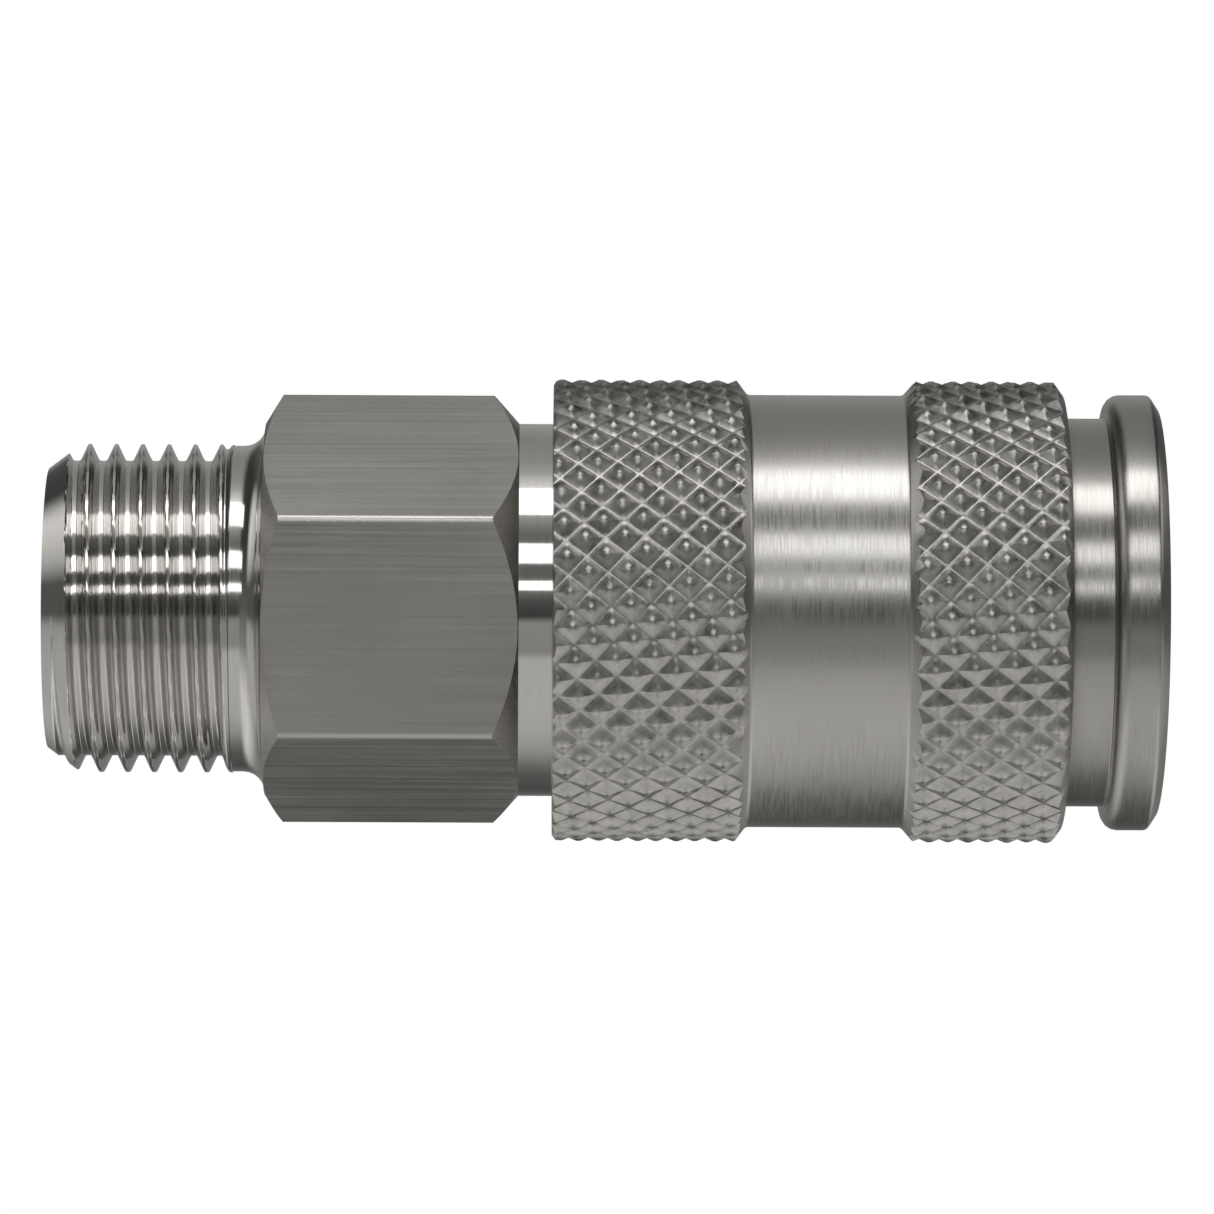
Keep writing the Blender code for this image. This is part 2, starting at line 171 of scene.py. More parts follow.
HEAD_FLANGE_FRONT = 32.6 * mm
HEAD_HUB_R = 2.6 * mm
HEAD_FLANGE_REAR = 31.7 * mm
SPIGOT_R = 4.7 * mm
SPIGOT_FRONT = 34.2 * mm
CROWN_SEAT_R = 3.3 * mm
CROWN_INNER_R = 3.4 * mm
CROWN_SLOT_WIDTH = 2.0 * mm
CROWN_SLOT_DEPTH = 1.0 * mm
STEM_BORE_R = 1.6 * mm
STEM_TIP = 0.4 * mm
STEM_CORE_R = 0.02 * mm
GUIDE_RIM_BORE_R = 5.0 * mm
GUIDE_RIM_REAR = 16.3 * mm
GUIDE_HUB_R = 2.6 * mm
GUIDE_SPOKES = 3
GUIDE_SPOKE_WIDTH = 1.4 * mm
GUIDE_SPOKE_THICKNESS = 1.0 * mm

GASKET_BORE_R = 7.25 * mm

SLEEVE_SPRING_TURNS = 5.0
SLEEVE_SPRING_WIRE_R = 0.45 * mm
VALVE_SPRING_TURNS = 7.5
VALVE_SPRING_WIRE_R = 0.4 * mm

# The camera looks at the coupler from slightly above one of the hexagon's flats.
CAMERA_ELEVATION = math.radians(5.55)
CAMERA_DISTANCE = 0.404
CAMERA_STATION = 24.5 * mm
AIM_STATION = 28.33 * mm
AIM_HEIGHT = 0.17 * mm
CAMERA_ROLL = math.radians(0.27)
LENS = 235.7


# ---------------------------------------------------------------------------
# Mesh helpers
# ---------------------------------------------------------------------------


def rounded(corners, steps=3):
    """A closed section with its corners rounded. Each corner is (station, radius, fillet)."""
    points = []
    count = len(corners)
    for i, (x, r, fillet) in enumerate(corners):
        here = Vector((x, r))
        if not fillet:
            points.append((x, r))
            continue
        back = Vector(corners[i - 1][:2]) - here
        ahead = Vector(corners[(i + 1) % count][:2]) - here
        turn = back.angle(ahead)
        reach = fillet / math.tan(turn / 2)
        inward = (back.normalized() + ahead.normalized()).normalized()
        middle = here + inward * fillet / math.sin(turn / 2)
        start = here + back.normalized() * reach - middle
        sweep = start.angle_signed(here + ahead.normalized() * reach - middle)
        for k in range(steps + 1):
            spoke = start.copy()
            spoke.rotate(Matrix.Rotation(-sweep * k / steps, 2))
            points.append(tuple(middle + spoke))
    return points


def section_grid(section, columns):
    """Stations and radii, as (rings, columns) arrays, and angles of a section turned about the axis."""
    angles = np.arange(columns) * 2 * math.pi / columns
    stations, radii = (np.repeat(np.array(side)[:, None], columns, axis=1) for side in zip(*section))
    return stations, radii, angles


def ring_mesh(name, stations, radii, angles):
    """A closed surface round the axis. Rings follow each other round the section."""
    rings, columns = radii.shape
    points = np.empty((rings, columns, 3))
    points[..., 0] = stations
    points[..., 1] = radii * np.cos(angles)
    points[..., 2] = radii * np.sin(angles)
    index = np.arange(rings * columns).reshape(rings, columns)
    ahead = np.roll(index, -1, axis=0)
    corners = [index, np.roll(index, -1, axis=1), np.roll(ahead, -1, axis=1), ahead]
    quads = np.stack(corners, axis=-1).reshape(-1, 4)
    mesh = bpy.data.meshes.new(name)
    mesh.from_pydata(points.reshape(-1, 3).tolist(), [], quads[:, ::-1].tolist())
    return mesh


def finish_mesh(mesh, sharp=30):
    """Smooth shading, with sharp edges where faces turn by more than the angle in degrees."""
    mesh.shade_smooth()
    mesh.set_sharp_from_angle(angle=math.radians(sharp))
    return mesh


def link(name, data):
    """A new object with this mesh, light or camera, in the scene."""
    ob = bpy.data.objects.new(name, data)
    bpy.context.scene.collection.objects.link(ob)
    return ob


def link_bmesh(name, bm):
    """A new object with this bmesh's faces, in the scene."""
    mesh = bpy.data.meshes.new(name)
    bm.to_mesh(mesh)
    bm.free()
    return link(name, mesh)


def lathe(name, corners, columns=192, steps=3):
    """A turned piece from corner points that run down its outer side, front to rear, and back inside."""
    return link(name, finish_mesh(ring_mesh(name, *section_grid(rounded(corners, steps), columns))))


def apply_modifiers(ob):
    """Replaces the object's mesh with its evaluated one."""
    depsgraph = bpy.context.evaluated_depsgraph_get()
    mesh = bpy.data.meshes.new_from_object(ob.evaluated_get(depsgraph), depsgraph=depsgraph)
    ob.modifiers.clear()
    ob.data = mesh


def cut(ob, tools, operation="DIFFERENCE", sharp=30):
    """Cuts, joins or meets the object with the tools, which are then removed."""
    for tool in tools:
        modifier = ob.modifiers.new(tool.name, "BOOLEAN")
        modifier.operation = operation
        modifier.object = tool
        modifier.solver = "EXACT"
    apply_modifiers(ob)
    for tool in tools:
        bpy.data.objects.remove(tool)
    finish_mesh(ob.data, sharp)


def block(name, size, place, turn=0.0):
    """A box with its sides along the axes, then turned about the coupler's axis."""
    bm = bmesh.new()
    bmesh.ops.create_cube(bm, size=1.0)
    bmesh.ops.scale(bm, vec=size, verts=bm.verts)
    bmesh.ops.translate(bm, vec=place, verts=bm.verts)
    bmesh.ops.rotate(bm, matrix=Matrix.Rotation(turn, 3, "X"), verts=bm.verts)
    return link_bmesh(name, bm)


def smooth_step(low, high, value):
    """0 below low, 1 above high, and a smooth change between them."""
    t = np.clip((value - low) / (high - low), 0, 1)
    return t * t * (3 - 2 * t)


def paint(ob, chooser, *materials):
    """Gives the object materials, and each face the one that chooser picks by station and radius."""
    for material in materials:
        ob.data.materials.append(material)
    set_finishes(ob, chooser)


def set_finishes(ob, chooser):
    """Sets each face's material number from the face's station and radius."""
    count = len(ob.data.polygons)
    centres = np.empty(count * 3)
    ob.data.polygons.foreach_get("center", centres)
    centres = centres.reshape(-1, 3)
    numbers = chooser(centres[:, 0], np.hypot(centres[:, 1], centres[:, 2]))
    ob.data.polygons.foreach_set("material_index", numbers.astype(np.int32))
    ob.data.update()


# ---------------------------------------------------------------------------
# Materials
# ---------------------------------------------------------------------------


def add_node(tree, kind, **settings):
    """A new node of this kind with these settings."""
    node = tree.nodes.new(kind)
    for key, value in settings.items():
        setattr(node, key, value)
    return node


def maths_node(tree, operation, first, second):
    """The result of an operation on two values, each a number or a socket."""
    node = add_node(tree, "ShaderNodeMath", operation=operation)
    for socket, value in zip(node.inputs, (first, second)):
        if isinstance(value, (int, float)):
            socket.default_value = value
        else:
            tree.links.new(value, socket)
    return node.outputs[0]


class Nodes:
    """A material's node tree with short calls for the nodes that these finishes need."""

    def __init__(self, name):
        self.material = bpy.data.materials.new(name)
        self.material.use_nodes = True
        self.tree = self.material.node_tree
        self.shader = self.tree.nodes["Principled BSDF"]
        self.place = self.tree.nodes.new("ShaderNodeTexCoord").outputs["Object"]

    def add(self, kind, **settings):
        return add_node(self.tree, kind, **settings)

    def join(self, source, target):
        self.tree.links.new(source, target)

    def lathe_place(self):
        """The place, with part of the radius added to X so that turning lines ring the end faces too."""
        across = self.add("ShaderNodeVectorMath", operation="MULTIPLY")
        across.inputs[1].default_value = (0.0, 1.0, 1.0)
        self.join(self.place, across.inputs[0])
        radius = self.add("ShaderNodeVectorMath", operation="LENGTH")
        self.join(across.outputs["Vector"], radius.inputs[0])
        part = self.maths("MULTIPLY", radius.outputs["Value"], LINES_ON_END_FACES)
        shift = self.add("ShaderNodeCombineXYZ")
        self.join(part, shift.inputs["X"])
        moved = self.add("ShaderNodeVectorMath", operation="ADD")
        self.join(self.place, moved.inputs[0])
        self.join(shift.outputs["Vector"], moved.inputs[1])
        return moved.outputs["Vector"]

    def noise(self, scale, detail=2.0, roughness=0.5, place=None):
        """Noise with its own number of features per metre along X, Y and Z."""
        mapping = self.add("ShaderNodeMapping")
        mapping.inputs["Scale"].default_value = scale
        self.join(place or self.place, mapping.inputs["Vector"])
        noise = self.add("ShaderNodeTexNoise")
        noise.inputs["Scale"].default_value = 1.0
        noise.inputs["Detail"].default_value = detail
        noise.inputs["Roughness"].default_value = roughness
        self.join(mapping.outputs["Vector"], noise.inputs["Vector"])
        return noise.outputs["Fac"]

    def ranged(self, source, low, high, start=0.3, end=0.7):
        """Source between start and end becomes a number between low and high."""
        node = self.add("ShaderNodeMapRange")
        node.inputs["From Min"].default_value = start
        node.inputs["From Max"].default_value = end
        node.inputs["To Min"].default_value = low
        node.inputs["To Max"].default_value = high
        self.join(source, node.inputs["Value"])
        return node.outputs["Result"]

    def mixed(self, factor, first, second):
        """A colour between two colours, each a triple or a socket."""
        node = self.add("ShaderNodeMix", data_type="RGBA")
        self.join(factor, node.inputs["Factor"])
        for socket, value in ((node.inputs["A"], first), (node.inputs["B"], second)):
            if isinstance(value, tuple):
                socket.default_value = (*value, 1.0)
            else:
                self.join(value, socket)
        return node.outputs["Result"]

    def maths(self, operation, first, second):
        return maths_node(self.tree, operation, first, second)

    def bump(self, height, distance):
        """Surface relief, its highest places this many metres above its lowest."""
        node = self.add("ShaderNodeBump")
        node.inputs["Strength"].default_value = 1.0
        node.inputs["Distance"].default_value = distance
        self.join(height, node.inputs["Height"])
        self.join(node.outputs["Normal"], self.shader.inputs["Normal"])

    def finish(self, metallic, colour, roughness):
        self.shader.inputs["Metallic"].default_value = metallic
        self.join(colour, self.shader.inputs["Base Color"])
        self.join(roughness, self.shader.inputs["Roughness"])
        return self.material


# Grains: how many features of noise there are per metre along X, Y and Z.
TURNED = (11000.0, 500.0, 500.0)
DRAWN = (60.0, 6000.0, 6000.0)
BLOTCHES = (260.0, 260.0, 260.0)
MOTTLE = (1400.0, 1400.0, 1400.0)
MOULDED = (2500.0, 2500.0, 2500.0)
FIBROUS = (1800.0, 1800.0, 1800.0)

# The part of the radius that shifts the turning lines, so that they ring the end faces.
LINES_ON_END_FACES = 0.6
# Lines against blotches in the shade of steel, and the range of the shade that is used.
LINES_SHARE = 0.75
SHADE_RANGE = (0.35, 0.65)
# What a finish's roughness and the mottle's colour are multiplied by where the noise is lowest and
# where it is highest.
STEEL_ROUGHNESS = (0.8, 1.25)
MOTTLE_ROUGHNESS = (0.8, 1.3)
MOTTLE_TINTS = (0.72, 1.18)
MOTTLE_RELIEF = 14e-6
SOFT_RELIEF = 4e-6


def steel(name, colour, grain, roughness, relief, anisotropy, tone):
    """Stainless steel with fine lines along its grain and faint blotches."""
    n = Nodes(name)
    lines = n.noise(grain, detail=3.0, place=n.lathe_place() if grain is TURNED else n.place)
    blotches = n.noise(BLOTCHES, detail=4.0, roughness=0.6)
    dull = tuple(c * (1 - tone) for c in colour)
    bright = tuple(min(c * (1 + tone), 1.0) for c in colour)
    from_lines = n.maths("MULTIPLY", lines, LINES_SHARE)
    from_blotches = n.maths("MULTIPLY", blotches, 1 - LINES_SHARE)
    shade = n.maths("ADD", from_lines, from_blotches)
    base = n.mixed(n.ranged(shade, 0.0, 1.0, *SHADE_RANGE), dull, bright)
    rough = n.ranged(shade, *(roughness * part for part in STEEL_ROUGHNESS), *SHADE_RANGE)
    n.bump(lines, relief)
    if anisotropy:
        n.shader.inputs["Anisotropic"].default_value = anisotropy
        n.shader.inputs["Anisotropic Rotation"].default_value = 0.25
        tangent = n.add("ShaderNodeTangent", direction_type="RADIAL", axis="X")
        n.join(tangent.outputs["Tangent"], n.shader.inputs["Tangent"])
    return n.finish(1.0, base, rough)


def knurled_steel(name, colour, roughness):
    """Pressed steel, mottled by the knurling wheels."""
    n = Nodes(name)
    mottle = n.noise(MOTTLE, detail=4.0, roughness=0.65)
    dark, light = (tuple(c * tint for c in colour) for tint in MOTTLE_TINTS)
    base = n.mixed(n.ranged(mottle, 0.0, 1.0), dark, light)
    rough = n.ranged(mottle, *(roughness * part for part in MOTTLE_ROUGHNESS))
    n.bump(mottle, MOTTLE_RELIEF)
    return n.finish(1.0, base, rough)


def rubber(name):
    """Black moulded rubber."""
    n = Nodes(name)
    grain = n.noise(MOULDED, detail=3.0)
    base = n.mixed(n.ranged(grain, 0.0, 1.0), (0.012, 0.012, 0.012), (0.03, 0.03, 0.029))
    rough = n.ranged(grain, 0.42, 0.62)
    n.bump(grain, SOFT_RELIEF)
    return n.finish(0.0, base, rough)


def ptfe(name):
    """White PTFE with a faint grain."""
    n = Nodes(name)
    grain = n.noise(FIBROUS, detail=4.0)
    base = n.mixed(n.ranged(grain, 0.0, 1.0), (0.68, 0.67, 0.63), (0.82, 0.81, 0.78))
    rough = n.ranged(grain, 0.45, 0.65)
    n.bump(grain, SOFT_RELIEF)
    return n.finish(0.0, base, rough)


WARM_STEEL = (0.60, 0.59, 0.57)

# Each steel's colour, grain, roughness, relief in metres, anisotropy and how far its tone varies.
polished = steel("steel_polished_neck", WARM_STEEL, TURNED, 0.07, 0.8e-6, 0.3, 0.03)
threaded = steel("steel_cut_thread", WARM_STEEL, TURNED, 0.10, 1.0e-6, 0.2, 0.05)
drawn = steel("steel_drawn_hexagon", (0.50, 0.49, 0.465), DRAWN, 0.32, 0.7e-6, 0.0, 0.05)
brushed = steel("steel_brushed_band", (0.49, 0.48, 0.46), TURNED, 0.29, 1.2e-6, 0.5, 0.04)
nose_steel = steel("steel_brushed_nose", (0.43, 0.42, 0.40), TURNED, 0.26, 1.1e-6, 0.6, 0.04)
bored = steel("steel_bored", (0.50, 0.485, 0.46), TURNED, 0.26, 1.6e-6, 0.3, 0.08)
knurled = knurled_steel("steel_knurled_slopes", (0.46, 0.45, 0.425), 0.32)
# The grooves' steel is painted a little lighter than the slopes' and is a little smoother, which shows
# as a thin light line along each groove.
lighter_groove_steel = knurled_steel("steel_knurled_grooves", (0.47, 0.46, 0.44), 0.30)
valve_steel = steel("steel_valve", (0.60, 0.58, 0.55), TURNED, 0.18, 1.2e-6, 0.3, 0.05)
wire_steel = steel("steel_spring_wire", (0.50, 0.49, 0.47), BLOTCHES, 0.24, 1.0e-6, 0.0, 0.10)
ball_steel = steel("steel_ground_ball", (0.72, 0.72, 0.71), BLOTCHES, 0.06, 0.3e-6, 0.0, 0.03)
seal_rubber = rubber("rubber_seal")
seal_ptfe = ptfe("ptfe_seal")


# ---------------------------------------------------------------------------
# Pieces
# ---------------------------------------------------------------------------


def place_piece(ob, body, slot, *nodes):
    """Puts a piece on its body, in place of CAD nodes. The slot is not used."""
    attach(ob, body)
    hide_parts(*nodes)


def hexagon_bar():
    """The bar that the adapter is turned from: a hexagon with slightly rounded edges."""
    bm = bmesh.new()
    corner_r = HEX_ACROSS_FLATS / math.sqrt(3)
    centre_r = corner_r - HEX_EDGE_R / math.cos(math.radians(30))
    ring = []
    for corner in range(6):
        middle = math.radians(30 + 60 * corner)
        for k in range(-2, 3):
            a = middle + math.radians(15 * k)
            y = centre_r * math.cos(middle) + HEX_EDGE_R * math.cos(a)
            z = centre_r * math.sin(middle) + HEX_EDGE_R * math.sin(a)
            ring.append((y, z))
    low = [bm.verts.new((-HEX_BAR_OVERHANG, y, z)) for y, z in ring]
    high = [bm.verts.new((ADAPTER_FRONT + HEX_BAR_OVERHANG, y, z)) for y, z in ring]
    bm.faces.new(low)
    bm.faces.new(high)
    for i in range(len(ring)):
        j = (i + 1) % len(ring)
        bm.faces.new((low[i], low[j], high[j], high[i]))
    bmesh.ops.recalc_face_normals(bm, faces=bm.faces)
    return link_bmesh("hexagon_bar", bm)


def thread_depth(station, angle):
    """How far the right-hand 55 degree thread cuts below its crest radius at each place."""
    silhouette_top = math.radians(90) - CAMERA_ELEVATION
    lead = THREAD_PITCH * (angle - silhouette_top) / (2 * math.pi)
    phase = ((station - FIRST_CREST - lead) / THREAD_PITCH) % 1.0
    from_crest = np.minimum(phase, 1 - phase) * THREAD_PITCH
    flank_depth = (from_crest - THREAD_CREST / 2) / math.tan(THREAD_FLANK)
    depth = soft_positive(flank_depth, THREAD_ROUNDING / 3)
    depth = THREAD_DEPTH - soft_positive(THREAD_DEPTH - depth, THREAD_ROUNDING)
    fade = 1 - smooth_step(THREAD_RUNOUT, THREAD_END, station)
    return depth * fade


def soft_positive(value, rounding):
    """Value where it is positive and nothing below, with a rounded change between the two."""
    return 0.5 * (value + np.sqrt(value**2 + rounding**2))


def adapter():
    """Male thread, neck, hexagon and polished neck, in one closed mesh."""
    chamfer = HEX_BLANK_R - HEX_FACE_R
    fillet = HEX_REAR - THREAD_NECK
    corners = [
        (ADAPTER_FRONT, JOINT_BORE_R, 0),
        (ADAPTER_FRONT, NECK_R, 0.15 * mm),
        (HEX_FRONT, NECK_R, 0),
        (HEX_FRONT - chamfer * math.tan(HEX_FRONT_CHAMFER), HEX_BLANK_R, 0),
        (HEX_REAR + chamfer * math.tan(HEX_REAR_CHAMFER), HEX_BLANK_R, 0),
        (HEX_REAR, HEX_FACE_R, 0.05 * mm),
        (HEX_REAR, THREAD_NECK_R, fillet),
        (THREAD_END + 0.05 * mm, THREAD_NECK_R, 0),
    ]
    outer = rounded(corners + [(0.0, THREAD_NECK_R, 0)], 6)[1:-1]
    pitch_steps = 30
    zone = np.arange(THREAD_END, THREAD_TIP_CHAMFER, -THREAD_PITCH / pitch_steps)
    threads = [(x, THREAD_CREST_R) for x in zone]
    chamfer_points = 30
    tip = [
        (
            THREAD_TIP_CHAMFER * (1 - i / chamfer_points),
            THREAD_CREST_R + (THREAD_TIP_R - THREAD_CREST_R) * i / chamfer_points,
        )
        for i in range(chamfer_points + 1)
    ]
    inner = rounded(
        [
            (0.0, THREAD_TIP_R, 0),
            (0.0, FLOW_BORE_R, 0.25 * mm),
            (CHAMBER_REAR, FLOW_BORE_R, 0.1 * mm),
            (CHAMBER_REAR, CHAMBER_R, 0.1 * mm),
            (JOINT_BORE_REAR, CHAMBER_R, 0.1 * mm),
            (JOINT_BORE_REAR, JOINT_BORE_R, 0.1 * mm),
            (ADAPTER_FRONT, JOINT_BORE_R, 0.1 * mm),
            (ADAPTER_FRONT, NECK_R, 0),
        ]
    )[1:-1]
    section = outer + threads + tip + inner
    stations, radii, angles = section_grid(section, 240)
    depth = thread_depth(stations, angles[None, :])
    is_thread = np.zeros(len(section), bool)
    is_thread[len(outer) : len(outer) + len(threads) + len(tip)] = True
    groove_r = THREAD_CREST_R - depth
    radii = np.where(is_thread[:, None], np.minimum(radii, groove_r), radii)
    ob = link("adapter", ring_mesh("adapter", stations, radii, angles))
    cut(ob, [hexagon_bar()], "INTERSECT")

    def finish_of(x, r):
        is_hexagon = (x > HEX_REAR) & (x < HEX_FRONT) & (r > CHAMBER_R + 1 * mm)
        is_front_neck = x >= HEX_FRONT - 0.01 * mm
        in_flow_bore = (x > 0.3 * mm) & (r < THREAD_TIP_R - 0.6 * mm)
        in_wide_bores = (x > HEX_REAR + 1 * mm) & (r < JOINT_BORE_R + 0.01 * mm)
        return np.select([in_flow_bore | in_wide_bores, is_front_neck, is_hexagon], [3, 2, 1], 0)

    paint(ob, finish_of, threaded, drawn, polished, bored)
    place_piece(ob, "housing", "stainless_body", "hex_adapter")


def ball_angle(index):
    """The angle round the coupler's axis at which the CAD's ball lies."""
    low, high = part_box(f"locking_ball_{index + 1}")
    centre = (low + high) / 2
    return math.atan2(centre.z, centre.y)


def ball_drill(index):
    """A radial drill with a tapered tip, for a ball's seat."""
    bm = bmesh.new()
    outline = [
        (BALL_HOLE_TIP_R, BALL_TAPER_INNER),
        (BALL_HOLE_R, BALL_TAPER_OUTER),
        (BALL_HOLE_R, BARREL_R + 1.2 * mm),
    ]
    sides = 40
    loops = []
    for radius, height in outline:
        loop = []
        for k in range(sides):
            a = 2 * math.pi * k / sides
            loop.append(bm.verts.new((radius * math.cos(a), radius * math.sin(a), height)))
        loops.append(loop)
    for low, high in zip(loops, loops[1:]):
        for k in range(sides):
            bm.faces.new((low[k], low[(k + 1) % sides], high[(k + 1) % sides], high[k]))
    bm.faces.new(loops[0])
    bm.faces.new(loops[-1])
    bmesh.ops.recalc_face_normals(bm, faces=bm.faces)
    drill = link_bmesh(f"ball_drill_{index + 1}", bm)
    drill.data.transform(Matrix.Rotation(ball_angle(index) - math.pi / 2, 4, "X"))
    drill.data.transform(Matrix.Translation((BALL_STATION, 0.0, 0.0)))
    return drill


def nose():
    """The locking body: flange, brushed nose, barrel with the ball seats, and the plug's socket."""
    cone = CHAMBER_R - PILOT_R
    mouth = SOCKET_MOUTH_R - SOCKET_R
    ob = lathe(
        "locking_nose",
        [
            (NOSE_FACE, FLANGE_RIM_R, 0.15 * mm),
            (NOSE_FACE - FLANGE_RIM_DEPTH, FLANGE_R, 0.3 * mm),
            (FLANGE_REAR, FLANGE_R, FLANGE_CORNER),
            (FLANGE_REAR, NOSE_R, 0.08 * mm),
            (NOSE_STEP, NOSE_R, 0.1 * mm),
            (NOSE_STEP, BARREL_R, 0.1 * mm),
            (BARREL_REAR, BARREL_R, 0.05 * mm),
            (BARREL_REAR, JOINT_TUBE_R, 0.05 * mm),
            (BODY_REAR, JOINT_TUBE_R, 0.15 * mm),
            (BODY_REAR, CHAMBER_R, 0.1 * mm),
            (SEAT_FRONT - cone, CHAMBER_R, 0.1 * mm),
            (SEAT_FRONT, PILOT_R, 0.05 * mm),
            (SEAL_GROOVE_REAR, PILOT_R, 0.08 * mm),
            (SEAL_GROOVE_REAR, SEAL_GROOVE_R, 0.1 * mm),
            (SEAL_GROOVE_FRONT, SEAL_GROOVE_R, 0.1 * mm),
            (SEAL_GROOVE_FRONT, PILOT_R, 0.08 * mm),
            (PILOT_FRONT, PILOT_R, 0.2 * mm),
            (SOCKET_BOTTOM, SOCKET_R, 0.2 * mm),
            (NOSE_FACE - mouth, SOCKET_R, 0.2 * mm),
            (NOSE_FACE, SOCKET_MOUTH_R, 0.12 * mm),
        ],
        columns=240,
        steps=4,
    )
    cut(ob, [ball_drill(i) for i in range(BALL_COUNT)])

    def finish_of(x, r):
        return np.where((r > NOSE_R - 0.1 * mm) | (x > NOSE_FACE - 0.05 * mm), 0, 1)

    paint(ob, finish_of, nose_steel, bored)
    place_piece(ob, "housing", "stainless_body", "locking_body")


def knurl_rise(step_a, step_b):
    """Height over the groove floor, 0 to 1, at fractions of the way between two grooves of each set."""
    away = min(step_a, 1 - step_a, step_b, 1 - step_b)
    if away == 0:
        return 0.0
    up_the_slope = (away - KNURL_STEPS[1]) / (KNURL_STEPS[3] - KNURL_STEPS[1])
    return KNURL_FOOT + (1 - KNURL_FOOT) * up_the_slope


def knurled_bar():
    """A round bar, longer than the sleeve, with the two sets of grooves all over it.

    Its mesh follows the grooves: column i lies between grooves of the first set and row j between
    grooves of the second, so that every groove and ridge is a straight row of edges.
    """
    twist = [math.tan(helix) / KNURL_R / (2 * math.pi) for helix in KNURL_HELIX]
    slope_a = KNURL_STARTS[0] * twist[0]
    slope_b = KNURL_STARTS[1] * twist[1]
    per_cell = len(KNURL_STEPS)
    around_a = KNURL_STARTS[0] * per_cell
    around_b = KNURL_STARTS[1] * per_cell
    spread = KNURL_STARTS[0] * slope_b + KNURL_STARTS[1] * slope_a

    def station_and_turn(i, j):
        """Where column i crosses row j: along the axis, and round it as a part of a whole turn."""
        a = i // per_cell + KNURL_STEPS[i % per_cell] + KNURL_PHASE[0]
        b = j // per_cell + KNURL_STEPS[j % per_cell] + KNURL_PHASE[1]
        station = (KNURL_STARTS[1] * a - KNURL_STARTS[0] * b) / spread
        turn = (slope_b * a + slope_a * b) / spread
        return station, turn

    rear = SLEEVE_REAR - KNURL_OVERHANG
    front = SLEEVE_FRONT + KNURL_OVERHANG
    grid = {}
    points = []
    for i in range(around_a):
        for j in range(int(-front * spread / KNURL_STARTS[0]) * per_cell, around_b + per_cell):
            station, turn = station_and_turn(i, j)
            if rear < station < front:
                rise = knurl_rise(KNURL_STEPS[i % per_cell], KNURL_STEPS[j % per_cell])
                radius = KNURL_R - KNURL_DEPTH * (1 - rise)
                angle = 2 * math.pi * turn
                grid[i, j] = len(points)
                points.append((station, -radius * math.cos(angle), radius * math.sin(angle)))

    def number(i, j):
        """The number of the point where column i crosses row j, or None where the bar has ended."""
        if i >= around_a:
            return grid.get((i - around_a, j - around_b))
        return grid.get((i, j))

    faces = []
    grooves = []
    middle = (per_cell - 1) // 2
    for i, j in grid:
        ring = (number(i, j), number(i + 1, j), number(i + 1, j + 1), number(i, j + 1))
        if None in ring:
            continue
        p = i % per_cell
        q = j % per_cell
        in_groove = p in (0, per_cell - 1) or q in (0, per_cell - 1)
        if p == q != middle:
            faces += [(ring[0], ring[1], ring[2]), (ring[0], ring[2], ring[3])]
            grooves += [in_groove] * 2
        elif p + q == per_cell - 1 and p != middle:
            faces += [(ring[0], ring[1], ring[3]), (ring[1], ring[2], ring[3])]
            grooves += [in_groove] * 2
        else:
            faces.append(ring)
            grooves.append(in_groove)
    mesh = bpy.data.meshes.new("knurled_bar")
    mesh.from_pydata(points, [], faces)
    mesh.polygons.foreach_set("material_index", np.array(grooves, np.int32))
    close_ends(mesh)
    return link("knurled_bar", mesh)


def close_ends(mesh):
    """Closes both open ends of a round bar with a flat cone to its axis."""
    bm = bmesh.new()
    bm.from_mesh(mesh)
    middle = (SLEEVE_REAR + SLEEVE_FRONT) / 2
    edges = [e for e in bm.edges if e.is_boundary]
    for is_front in (False, True):
        end = [e for e in edges if (e.verts[0].co.x > middle) == is_front]
        station = SLEEVE_FRONT + KNURL_TIP_OVERHANG if is_front else SLEEVE_REAR - KNURL_TIP_OVERHANG
        centre = bm.verts.new((station, 0.0, 0.0))
        for edge in end:
            bm.faces.new((edge.verts[0], edge.verts[1], centre))
    bmesh.ops.recalc_face_normals(bm, faces=bm.faces)
    bm.to_mesh(mesh)
    bm.free()


